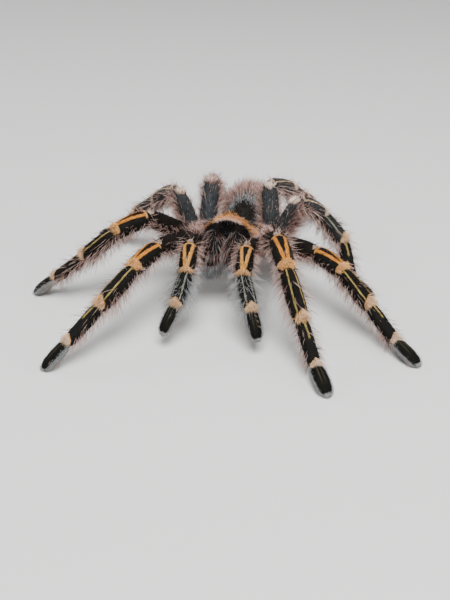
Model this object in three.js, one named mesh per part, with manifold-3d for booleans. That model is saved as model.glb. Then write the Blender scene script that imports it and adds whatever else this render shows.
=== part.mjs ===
// A dried tarantula set in its standing pose, as a three.js scene graph of its separate hard pieces.
// Millimetres, +Z up. The spider faces -Y, its own left side is +X, and its eight feet stand on z = 0.
// The origin is under the middle of its footprint.
import * as THREE from "three";
import { mergeVertices } from "three/addons/utils/BufferGeometryUtils.js";
import Module from "manifold-3d";

const wasm = await Module();
wasm.setup();

// ---- driving dimensions, in millimetres and degrees ----

const GAP = 0.3; // air between two pieces that meet at a joint
const SIDES = 10; // facets round a limb segment

// The front body, in its own tilted frame. z = 0 is the plane of the leg sockets.
const BODY_HEIGHT = 14.3;
const NOSE_UP = 23;
const CARAPACE = { length: 27, width: 23.5, headWidth: 16, dome: 2.7, edge: 0.8, floor: 2.8 };
const HEAD = { lift: 4, sag: 7, hump: 1.3, humpWidth: 2.1, humpLength: 1.5, humpY: -10.4 };
const STERNUM = { length: 14, width: 12, thick: 5.5, y: 0.5, z: -0.6 };
const CHELICERA = { length: 17, width: 7.3, height: 12.4, x: 3.8, y: -16.3, z: -2.2, droop: 38 };
const FANG = { length: 9, radius: 1.3, bend: 45, y: -19.5, z: -11.1 };
const PEDICEL = { length: 4.6, start: 1.3, middle: 1.5, end: 1.3, flat: 1, y: 11.6, z: 1.6 };
const ABDOMEN = { length: 30, width: 17.4, height: 16, noseUp: -9 };
const SPINNERET = { length: 6.5, start: 1.15, middle: 0.95, end: 0.55, flat: 1 };
const SPINNERET_PLACE = { x: 2, short: 1.2, z: -3.6, spread: 14 };

// Where each limb leaves the front body, for the left side: its socket on the breastplate and its hip.
const HIPS = {
  palp: { socket: [3.6, -6.5, -1.2], hip: [10.2, -14.4, -0.5] },
  leg_1: { socket: [4.6, -4.0, -0.6], hip: [13.4, -10.9, 0.3] },
  leg_2: { socket: [5.2, -1.2, -0.6], hip: [15.8, -3.6, 0.7] },
  leg_3: { socket: [5.2, 1.8, -0.6], hip: [15.4, 4.4, 0.9] },
  leg_4: { socket: [4.2, 4.8, -0.6], hip: [12.4, 12.0, 1.1] },
};

// Lengths of the segments, joint to joint, and their radii. A foot is wider than it is deep.
const SEGMENTS = {
  palp: { femur: 15, patella: 10, tibia: 11, tarsus: 10.5 },
  leg_1: { femur: 21, patella: 14.5, tibia: 16, metatarsus: 14.5, tarsus: 11.5 },
  leg_2: { femur: 19.5, patella: 13, tibia: 14, metatarsus: 14, tarsus: 11 },
  leg_3: { femur: 16.5, patella: 11, tibia: 12, metatarsus: 14.5, tarsus: 10.5 },
  leg_4: { femur: 20, patella: 12, tibia: 15.5, metatarsus: 19.5, tarsus: 11.5 },
};
const SHAPES = {
  femur: { start: 2.6, middle: 3.1, end: 2.7, flat: 1 },
  patella: { start: 2.6, middle: 3.0, end: 2.7, flat: 1 },
  tibia: { start: 2.5, middle: 2.8, end: 2.4, flat: 1 },
  metatarsus: { start: 2.1, middle: 2.1, end: 1.9, flat: 1 },
  tarsus: { start: 1.7, middle: 2.4, end: 1.4, flat: 0.9 },
};
const PALP_SLIMMER = 0.88;
const COXA = { start: 2.9, middle: 2.9, end: 2.45, flat: 0.95 };
const HIP_SHORT = 1.4; // how far a coxa stops short of its hip joint

// The pose. Each heading turns a segment from straight out sideways (0) towards the front (90) or
// the rear (-90), and each rise is its slope above level. A leg's tarsus slopes so that the middle
// of its round end comes down to FOOT_CENTRE, a little less than its radius, and the floor cuts a
// flat pad in it.
const FOOT_CENTRE = 1.0;
const POSES = {
  palp_left: { heading: [94, 88, 63, 64], rise: [24, -31, -44, -44] },
  palp_right: { heading: [93, 94, 77, 70], rise: [21, -31, -44, -39] },
  leg_1_left: { heading: [72, 70, 56, 56, 64], rise: [31, -13, -49, -46] },
  leg_1_right: { heading: [71, 72, 57, 52, 36], rise: [14, -4, -28, -32] },
  leg_2_left: { heading: [39, 41, 40, 43, 43], rise: [10, -8, -30, -29] },
  leg_2_right: { heading: [46, 41, 14, 4, -1], rise: [35, -12, -39, -39] },
  leg_3_left: { heading: [-6, -31, 25, 62, 40], rise: [65, -34, -39, -50] },
  leg_3_right: { heading: [-20, -25, -21, -22, -24], rise: [64, -33, -39, -46] },
  leg_4_left: { heading: [-104, -48, -70, -90, -95], rise: [47, -21, -38, -27] },
  leg_4_right: { heading: [-89, -81, -81, -82, -83], rise: [48, -36, -36, -21] },
};

// ---- finishes ----

const finish = (color, roughness) => new THREE.MeshStandardMaterial({ color, roughness, metalness: 0 });
const FINISHES = {
  shell: finish(0x2b2320, 0.55),
  limb: finish(0x1d1a19, 0.7),
  foot: finish(0x1a1918, 0.6),
  jaw: finish(0x2a2220, 0.65),
  fang: finish(0x0d0b0a, 0.2),
  belly: finish(0x2f2826, 0.9),
};

// ---- small helpers ----

const radians = THREE.MathUtils.degToRad;
const mirror = (side) => (side === "left" ? 1 : -1);
const slimmer = (kind) => (kind === "palp" ? PALP_SLIMMER : 1);
const scaled = ({ start, middle, end, flat }, by) => ({
  start: start * by,
  middle: middle * by,
  end: end * by,
  flat,
});

// A closed mesh as a solid that can be joined or cut.
function toSolid(geometry) {
  const bare = geometry.clone();
  bare.deleteAttribute("normal");
  bare.deleteAttribute("uv");
  const merged = mergeVertices(bare, 1e-4);
  return new wasm.Manifold(
    new wasm.Mesh({
      numProp: 3,
      vertProperties: merged.attributes.position.array,
      triVerts: new Uint32Array(merged.index.array),
    }),
  );
}

function fromSolid(solid) {
  const mesh = solid.getMesh();
  const geometry = new THREE.BufferGeometry();
  geometry.setAttribute("position", new THREE.BufferAttribute(mesh.vertProperties, 3));
  geometry.setIndex(new THREE.BufferAttribute(mesh.triVerts, 1));
  geometry.computeVertexNormals();
  return geometry;
}

// Moves every vertex of a geometry by a function of its place.
function reshape(geometry, move) {
  const place = geometry.attributes.position;
  const at = new THREE.Vector3();
  for (let i = 0; i < place.count; i++) {
    at.fromBufferAttribute(place, i);
    move(at);
    place.setXYZ(i, at.x, at.y, at.z);
  }
  geometry.computeVertexNormals();
  return geometry;
}

// A ball squeezed to an egg of the given full sizes, lying along y. sharp > 0 narrows its -y end.
function egg(width, length, height, sharp, around, along) {
  const ball = new THREE.SphereGeometry(1, around, along).rotateX(Math.PI / 2);
  return reshape(ball, (at) => {
    const narrow = 1 - sharp * Math.max(0, -at.y) ** 2;
    at.set((at.x * width * narrow) / 2, (at.y * length) / 2, (at.z * height * narrow) / 2);
  });
}

// A limb segment: a round-ended spindle along +y from y = 0 to y = length.
function spindle(length, { start, middle, end, flat }, sides = SIDES) {
  const profile = new THREE.Path();
  profile.moveTo(0, 0);
  profile.absarc(0, start, start, -Math.PI / 2, 0, false);
  profile.quadraticCurveTo(middle, length / 2, end, length - end);
  profile.absarc(0, length - end, end, 0, Math.PI / 2, false);
  const outline = [new THREE.Vector2(0, 0)];
  for (const curve of profile.curves.slice(1)) {
    outline.push(curve.getPoint(0), curve.getPoint(0.5));
  }
  outline.push(new THREE.Vector2(0, length));
  return new THREE.LatheGeometry(outline, sides).scale(1, 1, flat);
}

function named(name, geometry, material) {
  const mesh = new THREE.Mesh(geometry, material);
  mesh.name = name;
  return mesh;
}

// Lays a mesh whose length is +y along a direction, with its +z side as near up as it can be.
function layAlong(mesh, from, direction) {
  const along = direction.clone().normalize();
  const side = new THREE.Vector3().crossVectors(along, new THREE.Vector3(0, 0, 1)).normalize();
  const upper = new THREE.Vector3().crossVectors(side, along);
  mesh.position.copy(from);
  mesh.quaternion.setFromRotationMatrix(new THREE.Matrix4().makeBasis(side, along, upper));
  mesh.updateMatrix();
  return mesh;
}

// ---- the front body ----

// The back shield: a low dome, narrower and lifted at the head, whose front rim arches up over the
// jaws and bends down at both sides, with the small hump that carries the eyes just behind it.
function carapaceGeometry() {
  const { length, width, headWidth, dome, edge, floor } = CARAPACE;
  const { lift, sag, hump, humpWidth, humpLength, humpY } = HEAD;
  const ball = new THREE.SphereGeometry(1, 28, 14).rotateX(Math.PI / 2);
  return reshape(ball, (at) => {
    const towardsHead = THREE.MathUtils.smoothstep(-at.y, -0.1, 1);
    const halfWidth = THREE.MathUtils.lerp(width, headWidth, towardsHead) / 2;
    const blunt = 1 + 0.9 * towardsHead * Math.abs(at.y);
    const across = THREE.MathUtils.clamp(at.x * blunt, -1, 1);
    const x = across * halfWidth;
    const y = (at.y * length) / 2;
    const eyes = hump * Math.exp(-((x / humpWidth) ** 2) - ((y - humpY) / humpLength) ** 2);
    const bend = towardsHead * lift - towardsHead ** 2 * sag * across ** 2;
    const thick = at.z > 0 ? at.z * dome + eyes * Math.min(1, at.z * 3) : at.z * edge;
    at.set(x, y, floor + edge + bend + thick);
  });
}

// One jaw: a deep egg that leans forward and down from under the shield's front rim.
function cheliceraGeometry(grow = 0) {
  const { length, width, height, droop } = CHELICERA;
  const jaw = egg(width + 2 * grow, length + 2 * grow, height + 2 * grow, 0.14, 12, 8);
  return jaw.rotateX(radians(droop));
}

// A fang: a cone that runs back under its jaw and bends up to lie along it.
function fangGeometry() {
  const { length, radius, bend } = FANG;
  const cone = new THREE.ConeGeometry(radius, length, 8, 5).translate(0, length / 2, 0);
  const reach = length / radians(bend);
  return reshape(cone, (at) => {
    const turn = at.y / reach;
    at.set(at.x, (reach - at.z) * Math.sin(turn), reach - (reach - at.z) * Math.cos(turn));
  });
}

// The breastplate with the ten limb sockets packed round it, and room cut for the two jaws.
function undersideSolid() {
  const { length, width, thick, y, z } = STERNUM;
  let solid = toSolid(egg(width, length, thick, 0.1, 16, 8).translate(0, y, z));
  for (const [kind, { socket, hip }] of Object.entries(HIPS)) {
    const from = new THREE.Vector3(...socket);
    const way = new THREE.Vector3(...hip).sub(from);
    const reach = way.length() - HIP_SHORT;
    for (const side of [1, -1]) {
      const coxa = named("coxa", spindle(reach, scaled(COXA, slimmer(kind)), 8));
      layAlong(coxa, from.clone().setX(from.x * side), way.clone().setX(way.x * side));
      solid = solid.add(toSolid(coxa.geometry.applyMatrix4(coxa.matrix)));
    }
  }
  for (const side of [1, -1]) {
    const room = cheliceraGeometry(GAP);
    room.translate(side * CHELICERA.x, CHELICERA.y, CHELICERA.z);
    solid = solid.subtract(toSolid(room));
  }
  return solid;
}

function frontBody() {
  const body = new THREE.Group();
  body.position.z = BODY_HEIGHT;
  body.rotation.x = -radians(NOSE_UP);
  body.add(named("carapace", carapaceGeometry(), FINISHES.shell));
  body.add(named("underside", fromSolid(undersideSolid()), FINISHES.limb));
  for (const side of ["left", "right"]) {
    const jaw = named(`chelicera_${side}`, cheliceraGeometry(), FINISHES.jaw);
    jaw.position.set(mirror(side) * CHELICERA.x, CHELICERA.y, CHELICERA.z);
    const fang = named(`fang_${side}`, fangGeometry(), FINISHES.fang);
    fang.position.set(mirror(side) * CHELICERA.x, FANG.y, FANG.z);
    body.add(jaw, fang);
  }
  const pedicel = named("pedicel", spindle(PEDICEL.length, PEDICEL, 8), FINISHES.belly);
  pedicel.position.set(0, PEDICEL.y, PEDICEL.z);
  body.add(pedicel);
  return body;
}

// ---- the abdomen, hung level behind the waist ----

function rearBody(waistEnd) {
  const rear = new THREE.Group();
  rear.position.copy(waistEnd);
  rear.rotation.x = -radians(ABDOMEN.noseUp);
  const { length, width, height } = ABDOMEN;
  const { x, short, z, spread } = SPINNERET_PLACE;
  const sac = egg(width, length, height, 0.22, 24, 14);
  const abdomen = named("abdomen", sac, FINISHES.belly);
  abdomen.position.set(0, length / 2 + GAP, 0);
  rear.add(abdomen);
  for (const side of ["left", "right"]) {
    const tube = spindle(SPINNERET.length, SPINNERET, 8);
    const spinneret = named(`spinneret_${side}`, tube, FINISHES.belly);
    spinneret.position.set(mirror(side) * x, length - short, z);
    spinneret.rotation.z = -mirror(side) * radians(spread);
    rear.add(spinneret);
  }
  return rear;
}

// ---- the limbs ----

// How far back from a joint a round end keeps its middle, so that it clears its neighbour's round
// end when the two segments meet at an angle.
function setback(before, after, radiusBefore, radiusAfter) {
  const bend = before.angleTo(after);
  return (radiusBefore + radiusAfter + GAP) / 2 / Math.cos(bend / 2);
}

function headingVector(side, heading, rise) {
  const turn = radians(heading);
  const slope = radians(rise);
  const out = new THREE.Vector3(mirror(side) * Math.cos(turn), -Math.sin(turn), 0);
  return out.multiplyScalar(Math.cos(slope)).setZ(Math.sin(slope));
}

// The segments of a limb in order, each with the joint it starts from and its direction.
function limbChain(kind, side, hip) {
  const { heading, rise } = POSES[`${kind}_${side}`];
  const joint = hip.clone();
  return Object.entries(SEGMENTS[kind]).map(([segment, length], i) => {
    const shape = scaled(SHAPES[segment], slimmer(kind));
    const drop = (joint.z - FOOT_CENTRE) / (length - shape.end);
    const slope = rise[i] ?? -THREE.MathUtils.radToDeg(Math.asin(drop));
    const direction = headingVector(side, heading[i], slope);
    const link = { segment, length, shape, direction, joint: joint.clone() };
    joint.addScaledVector(direction, length);
    return link;
  });
}

// Cuts a foot flat where its pad stands on z = 0.
function flattenFoot(mesh) {
  const size = 60;
  const ground = new THREE.BoxGeometry(size, size, size);
  ground.translate(mesh.position.x, mesh.position.y, -size / 2);
  ground.applyMatrix4(mesh.matrix.clone().invert());
  mesh.geometry = fromSolid(toSolid(mesh.geometry).subtract(toSolid(ground)));
}

// One limb: its segments laid from joint to joint, each stopping short of the next.
function limb(kind, side, hip, coxaWay) {
  const group = new THREE.Group();
  const socket = { shape: scaled(COXA, slimmer(kind)), direction: coxaWay };
  const chain = limbChain(kind, side, hip);
  chain.forEach(({ segment, length, shape, direction, joint }, i) => {
    const before = chain[i - 1] ?? socket;
    const after = chain[i + 1];
    const back = setback(before.direction, direction, before.shape.end, shape.start) - shape.start;
    const nextStart = after ? setback(direction, after.direction, shape.end, after.shape.start) : shape.end;
    const front = nextStart - shape.end;
    const material = segment === "tarsus" ? FINISHES.foot : FINISHES.limb;
    const mesh = named(`${kind}_${side}_${segment}`, spindle(length - back - front, shape), material);
    layAlong(mesh, joint.clone().addScaledVector(direction, back), direction);
    if (segment === "tarsus" && kind !== "palp") flattenFoot(mesh);
    group.add(mesh);
  });
  return group;
}

// ---- the whole specimen ----

const specimen = new THREE.Group();
const front = frontBody();
front.updateMatrixWorld(true);
specimen.add(front);
const waistEnd = front.localToWorld(new THREE.Vector3(0, PEDICEL.y + PEDICEL.length, PEDICEL.z));
specimen.add(rearBody(waistEnd));
for (const [kind, { socket, hip }] of Object.entries(HIPS)) {
  for (const side of ["left", "right"]) {
    const [from, to] = [socket, hip].map(([x, y, z]) =>
      front.localToWorld(new THREE.Vector3(mirror(side) * x, y, z)),
    );
    specimen.add(limb(kind, side, to, to.clone().sub(from)));
  }
}

specimen.updateMatrixWorld(true);
const reach = new THREE.Box3().setFromObject(specimen, true);
const middle = reach.getCenter(new THREE.Vector3());
specimen.position.set(-middle.x, -middle.y, 0);

export default specimen;
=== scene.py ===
import bpy
import numpy as np
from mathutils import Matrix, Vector


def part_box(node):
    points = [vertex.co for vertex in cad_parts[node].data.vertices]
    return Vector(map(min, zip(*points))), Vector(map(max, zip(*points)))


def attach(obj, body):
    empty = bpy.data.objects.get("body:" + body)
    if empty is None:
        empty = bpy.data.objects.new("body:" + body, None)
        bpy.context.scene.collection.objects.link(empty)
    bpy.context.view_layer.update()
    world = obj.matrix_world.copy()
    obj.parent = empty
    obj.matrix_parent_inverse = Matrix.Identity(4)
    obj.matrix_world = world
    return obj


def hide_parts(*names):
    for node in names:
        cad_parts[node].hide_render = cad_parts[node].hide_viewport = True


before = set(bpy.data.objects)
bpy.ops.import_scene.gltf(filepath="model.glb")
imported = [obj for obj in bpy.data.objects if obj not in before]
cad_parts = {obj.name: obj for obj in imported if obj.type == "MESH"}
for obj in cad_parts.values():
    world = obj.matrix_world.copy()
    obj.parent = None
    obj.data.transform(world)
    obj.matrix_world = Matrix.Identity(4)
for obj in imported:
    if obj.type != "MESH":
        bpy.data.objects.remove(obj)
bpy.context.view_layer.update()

# ----------------------------------------------
# Carapace: the domed back shield, one hard horny plate under a close nap of hair. Its front rim
# arches over the jaws with a thick pink and orange fringe, and a small hump behind the rim holds
# eight glassy eyes. Sizes are in millimetres, and angles in radians unless marked as degrees.

NOSE_UP = 23  # degrees
BODY_HEIGHT = 14.3
WAIST_Y, WAIST_Z = 13.9, 1.6  # the middle of the waist, in the front body's own tilted frame


def nose_up(degrees):
    """The turn about x that lifts the -y end by this angle."""
    c, s = np.cos(np.radians(degrees)), np.sin(np.radians(degrees))
    return np.array([[1, 0, 0], [0, c, s], [0, -s, c]])


FRONT_TURN = nose_up(NOSE_UP)
waist = np.mean([list(corner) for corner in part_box("pedicel")], 0) * 1000
front_origin = waist - FRONT_TURN @ np.array([0, WAIST_Y, WAIST_Z])
front_origin[2] = BODY_HEIGHT


def on_front(x, y, z):
    """Points of the front body's tilted frame, turned by its tilt and moved to its place."""
    return np.stack(np.broadcast_arrays(x, y, z), -1) @ FRONT_TURN.T + front_origin


def smooth(low, high, x):
    """3t^2 - 2t^3, with t running from 0 at low to 1 at high."""
    t = np.clip((x - low) / (high - low), 0, 1)
    return t * t * (3 - 2 * t)


def eased(at, places, values):
    """A smooth curve through values at places: between two places it follows half a cosine."""
    places, values = np.asarray(places, float), np.asarray(values, float)
    i = np.clip(np.searchsorted(places, at) - 1, 0, len(places) - 2)
    t = np.clip((at - places[i]) / (places[i + 1] - places[i]), 0, 1)
    return values[i] + (values[i + 1] - values[i]) * (1 - np.cos(np.pi * t)) / 2


def unit(vectors):
    """Vectors divided by their length."""
    return vectors / np.maximum(np.linalg.norm(vectors, axis=-1, keepdims=True), 1e-9)


def make_piece(name, arrays, material, slot):
    """A mesh that rides on the body, from its points in millimetres, its face corners, where each
    face starts among them, and a map place for each corner."""
    points, corners, starts, places = arrays
    mesh = bpy.data.meshes.new(name)
    mesh.vertices.add(len(points))
    mesh.vertices.foreach_set("co", (points / 1000).astype(np.float32).ravel())
    mesh.loops.add(len(corners))
    mesh.loops.foreach_set("vertex_index", corners.astype(np.int32))
    mesh.polygons.add(len(starts))
    mesh.polygons.foreach_set("loop_start", starts.astype(np.int32))
    mesh.polygons.foreach_set("use_smooth", np.ones(len(starts), bool))
    layer = mesh.uv_layers.new(name="OFBake")
    layer.uv.foreach_set("vector", places.astype(np.float32).ravel())
    mesh.update(calc_edges=True)
    mesh.materials.append(material)
    piece = bpy.data.objects.new(name, mesh)
    bpy.context.scene.collection.objects.link(piece)
    if slot:
        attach(piece, "root")
    return piece


def make_skin(node, arrays, material, slot, name=None):
    """The outer skin of a CAD node, shown in its place."""
    skin = make_piece(f"{name or node}_skin", arrays, material, slot)
    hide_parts(node)


def sack(surface, around, along):
    """A closed skin of surface(u, v), u once round it and v from pole to pole. The rings lie at
    v = (1 - cos(pi k / along)) / 2, closer at the ends, and each pole is one point. The faces are
    turned outwards by the sign of the volume that they enclose."""
    rows = (1 - np.cos(np.pi * np.arange(along + 1) / along)) / 2
    u, v = np.meshgrid(np.arange(around) / around, rows[1:-1])
    ends = surface(np.zeros(2), np.array([0.0, 1.0]))
    points = np.vstack([ends[:1], surface(u, v).reshape(-1, 3), ends[1:]])
    i, j = (grid.ravel() for grid in np.meshgrid(np.arange(around), np.arange(along - 2)))
    here, beside = 1 + j * around + i, 1 + j * around + (i + 1) % around
    quads = np.stack([here, beside, beside + around, here + around], -1)
    quad_places = np.stack([
        np.stack([(i + right) / around, rows[j + 1 + down]], -1)
        for right, down in ((0, 0), (1, 0), (1, 1), (0, 1))
    ], 1)
    k = np.arange(around)
    last = 1 + (along - 2) * around
    caps = np.vstack([
        np.stack([0 * k, 1 + (k + 1) % around, 1 + k], -1),
        np.stack([0 * k + len(points) - 1, last + k, last + (k + 1) % around], -1),
    ])
    middle, left, right = (k + 0.5) / around, k / around, (k + 1) / around
    cap_places = np.vstack([
        np.stack([np.stack([a, 0 * a + row], -1) for a, row in corners_of_cap], 1)
        for corners_of_cap in (
            ((middle, rows[0]), (right, rows[1]), (left, rows[1])),
            ((middle, rows[-1]), (left, rows[-2]), (right, rows[-2])),
        )
    ])
    first = points[quads[:, 0]]
    volume = (first * np.cross(points[quads[:, 1]], points[quads[:, 2]])).sum()
    volume += (first * np.cross(points[quads[:, 2]], points[quads[:, 3]])).sum()
    volume += (points[caps[:, 0]] * np.cross(points[caps[:, 1]], points[caps[:, 2]])).sum()
    if volume < 0:
        quads, quad_places = quads[:, ::-1], quad_places[:, ::-1]
        caps, cap_places = caps[:, ::-1], cap_places[:, ::-1]
    corners = np.concatenate([quads.ravel(), caps.ravel()])
    starts = np.concatenate([np.arange(len(quads)) * 4, quads.size + np.arange(len(caps)) * 3])
    return points, corners, starts, np.vstack([quad_places.reshape(-1, 2), cap_places.reshape(-1, 2)])


def stacked(parts):
    """Several sets of mesh arrays as one."""
    points, corners, starts, places = [], [], [], []
    point_count = corner_count = 0
    for p, c, s, m in parts:
        points.append(p)
        corners.append(c + point_count)
        starts.append(s + corner_count)
        places.append(m)
        point_count += len(p)
        corner_count += len(c)
    return np.vstack(points), np.concatenate(corners), np.concatenate(starts), np.vstack(places)


def side_by_side(skins):
    """Closed skins as one set of mesh arrays, each in its own upright strip of the map."""
    return stacked([
        (p, c, s, np.stack([(n + 0.96 * m[:, 0]) / len(skins), m[:, 1]], -1))
        for n, (p, c, s, m) in enumerate(skins)
    ])


SHADES = 48  # how many steps of the palette a hair can take
PALETTE = (  # where each shade lies on the palette, and its colour
    (0.00, (0.002, 0.0018, 0.0016)), (0.15, (0.009, 0.0078, 0.0065)), (0.20, (0.025, 0.028, 0.03)),
    (0.29, (0.17, 0.185, 0.195)), (0.34, (0.50, 0.51, 0.51)), (0.36, (0.13, 0.055, 0.042)),
    (0.47, (0.36, 0.20, 0.165)), (0.58, (0.66, 0.47, 0.41)), (0.67, (0.88, 0.77, 0.70)),
    (0.72, (0.95, 0.67, 0.40)), (0.80, (0.90, 0.49, 0.17)), (0.86, (0.68, 0.27, 0.05)),
    (0.93, (0.42, 0.13, 0.03)), (1.00, (0.40, 0.33, 0.13)),
)
BLACK, PALE = (0.0, 0.14), (0.57, 0.68)  # spans of the palette
GROUND_CLEARANCE = 0.3  # the least height of a hair's tip
ROOT_DEPTH = 0.12  # how far a hair's root is sunk in the skin
TRIES = 14  # places tried for each hair that is wanted


def sided(ways):
    """Three directions square to each way and a third of a turn apart."""
    side = unit(np.cross(ways, np.where(np.abs(ways[:, 2:]) < 0.8, [[0, 0, 1]], [[1, 0, 0]])))
    turn = np.arange(3)[None, :, None] * 2 * np.pi / 3
    return side[:, None] * np.cos(turn) + np.cross(ways, side)[:, None] * np.sin(turn)


def spikes(rings, tips, faces, reach, shades):
    """Joined three-sided hairs from their rings of points and their tips. On the map, u is how far
    along the hair a point is, and v lies in the hair's own step of the palette."""
    count = len(tips)
    points = np.concatenate([*rings, tips[:, None]], 1)
    faces, reach = np.array(faces), np.array(reach, float)
    corners = (np.arange(count)[:, None, None] * points.shape[1] + faces).ravel()
    steps = np.floor(np.clip(shades, 0, 0.9999) * SHADES)
    within = np.array([0.2, 0.8, 0.5])
    u = np.broadcast_to(reach, (count, *reach.shape))
    v = np.broadcast_to((steps[:, None, None] + within) / SHADES, u.shape)
    places = np.stack([u, v], -1).reshape(-1, 2)
    return points.reshape(-1, 3), corners, np.arange(len(corners) // 3) * 3, places


def short_hairs(roots, ways, bends, lengths, widths, shades):
    """Hairs that are straight spikes of four faces, from root to root + length (way + bend)."""
    ring = roots[:, None] + sided(ways) * widths[:, None, None] / 2
    faces = [(2, 1, 0), (0, 1, 3), (1, 2, 3), (2, 0, 3)]
    reach = [(0, 0.01, 0)] + [(0, 0, 1)] * 3
    return spikes([ring], roots + lengths[:, None] * (ways + bends), faces, reach, shades)


def long_hairs(roots, ways, bends, lengths, widths, shades):
    """Hairs along the line root + length (s way + s^2 bend), full width at s = 0, three quarters
    of it at s = 0.5 and a point at s = 1."""
    ring = sided(ways) * widths[:, None, None] / 2
    middle = roots + lengths[:, None] * (0.5 * ways + 0.25 * bends)
    faces, reach = [(2, 1, 0)], [(0, 0.01, 0)]
    for k, n in ((0, 1), (1, 2), (2, 0)):
        faces += [(k, n, 3 + n), (k, 3 + n, 3 + k), (3 + k, 3 + n, 6)]
        reach += [(0, 0, 0.5), (0, 0.5, 0.49), (0.5, 0.5, 1)]
    tips = roots + lengths[:, None] * (ways + bends)
    return spikes([roots[:, None] + ring, middle[:, None] + ring * 0.75], tips, faces, reach, shades)


def drawn(rng, limits, u, v):
    """Random numbers between two limits, or what a function of u and v gives."""
    return limits(rng, u, v) if callable(limits) else rng.uniform(*limits, len(u))


def grown(seed, surface, count, where, flow, lean, length, width, shade, kind=short_hairs,
          spread=0.22, curl=0.0, droop=0.0):
    """Hairs rooted evenly over surface(u, v), thinned by the chance where(u, v). Each leans from the
    normal towards the flow by the angle lean, strays by spread, and bends on towards the flow by
    curl and down by droop. The normal is the cross product of the surface's two slopes. Lean,
    length, width and shade are each two limits, or a function that draws them."""
    rng = np.random.default_rng(seed)
    u, v = rng.random(count * TRIES), rng.uniform(0.004, 0.996, count * TRIES)
    kept = rng.random(len(u)) < where(u, v)
    u, v = u[kept], v[kept]
    step = 2e-3
    slopes = np.cross(
        surface(u + step, v) - surface(u - step, v),
        surface(u, v + step) - surface(u, v - step),
    )
    area = np.linalg.norm(slopes, axis=-1)
    kept = rng.random(len(u)) < area / np.percentile(area, 98)
    u, v, normal = u[kept][:count], v[kept][:count], unit(slopes[kept][:count])
    roots = surface(u, v)
    ring = np.arange(8) / 8
    middle = surface(ring, np.full(8, 0.5)).mean(0)
    normal = normal * np.sign(np.median(((roots - middle) * normal).sum(-1)))
    stream = flow(u, v) if callable(flow) else np.broadcast_to(flow, normal.shape)
    stream = unit(stream - (stream * normal).sum(-1, keepdims=True) * normal)
    angle = drawn(rng, lean, u, v)[:, None]
    ways = unit(normal * np.cos(angle) + stream * np.sin(angle) + rng.normal(0, spread, normal.shape))
    ways = unit(ways + normal * np.maximum(0, 0.2 - (ways * normal).sum(-1, keepdims=True)))
    bends = stream * curl - np.array([0, 0, droop]) + rng.normal(0, 0.05, ways.shape)
    lengths, widths, shades = (drawn(rng, limits, u, v) for limits in (length, width, shade))
    roots = roots - normal * ROOT_DEPTH
    drop = -lengths * (ways[:, 2] + bends[:, 2])
    room = np.maximum(roots[:, 2] - GROUND_CLEARANCE, 0.02)
    lengths = np.where(drop > room, lengths * room / np.maximum(drop, 1e-6), lengths)
    return kind(roots, ways, bends, lengths, widths, shades)


def new_material(name):
    """A material, its node tree and its Principled shader."""
    material = bpy.data.materials.new(name)
    material.use_nodes = True
    return material, material.node_tree, material.node_tree.nodes["Principled BSDF"]


def fill(node, inputs):
    """Fills a node's inputs: a socket is linked to its input, and any other value is set on it."""
    for key, value in inputs.items():
        if isinstance(value, bpy.types.NodeSocket):
            node.id_data.links.new(value, node.inputs[key])
        else:
            node.inputs[key].default_value = value


def wired(kind, inputs, tree=None, **settings):
    """A node of this kind with these settings and inputs. It stands in the tree of the sockets among
    its inputs, or, where it has none, in the tree given."""
    if tree is None:
        tree = next(value.id_data for value in inputs.values() if isinstance(value, bpy.types.NodeSocket))
    node = tree.nodes.new(kind)
    for key, value in settings.items():
        setattr(node, key, value)
    fill(node, inputs)
    return node


def maths(operation, *values):
    """The result of one Math node on these values."""
    return wired("ShaderNodeMath", dict(enumerate(values)), operation=operation).outputs[0]


def times(product, *values):
    """Values multiplied together."""
    for value in values:
        product = maths("MULTIPLY", product, value)
    return product


def distance(first, second):
    """How far apart two values are."""
    return maths("ABSOLUTE", maths("SUBTRACT", first, second))


def mixed(factor, first, second):
    """A colour between two, by a factor from 0 to 1."""
    return wired("ShaderNodeMix", {0: factor, 6: first, 7: second}, data_type="RGBA").outputs[2]


def masked(value, zero_at, one_at):
    """A mask that runs smoothly from 0 to 1 as a value goes from one number to another."""
    limits = {"Value": value, "From Min": zero_at, "From Max": one_at}
    return wired("ShaderNodeMapRange", limits, interpolation_type="SMOOTHSTEP").outputs[0]


def map_place(tree):
    """A piece's own map, and its two axes, which are the u and the v of the surface's formula."""
    place = wired("ShaderNodeUVMap", {}, tree, uv_map="OFBake").outputs["UV"]
    axes = wired("ShaderNodeSeparateXYZ", {"Vector": place}).outputs
    return place, axes["X"], axes["Y"]


def noise(place, scale, detail=2.0):
    """A cloudy noise over a place."""
    return wired("ShaderNodeTexNoise", {"Vector": place, "Scale": scale, "Detail": detail}).outputs[0]


def solid_noise(tree, scale):
    """A cloudy noise through the body of a piece."""
    return noise(wired("ShaderNodeTexCoord", {}, tree).outputs["Object"], scale)


def new_group(name, inputs, outputs):
    """A shader node group with float inputs, or colour ones where four numbers are given, and the
    named outputs. Returns the group, its inputs' sockets by name, and its output node."""
    tree = bpy.data.node_groups.new(name, "ShaderNodeTree")
    for label, value in inputs.items():
        kind = "NodeSocketColor" if isinstance(value, tuple) else "NodeSocketFloat"
        tree.interface.new_socket(label, in_out="INPUT", socket_type=kind).default_value = value
    for label, kind in outputs.items():
        tree.interface.new_socket(label, in_out="OUTPUT", socket_type=kind)
    return tree, tree.nodes.new("NodeGroupInput").outputs, tree.nodes.new("NodeGroupOutput")


NAP_GRAIN = 3000.0  # how fine the tips of the nap are
DUST_SHARE = 2.2  # how much of the dust shows


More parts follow.
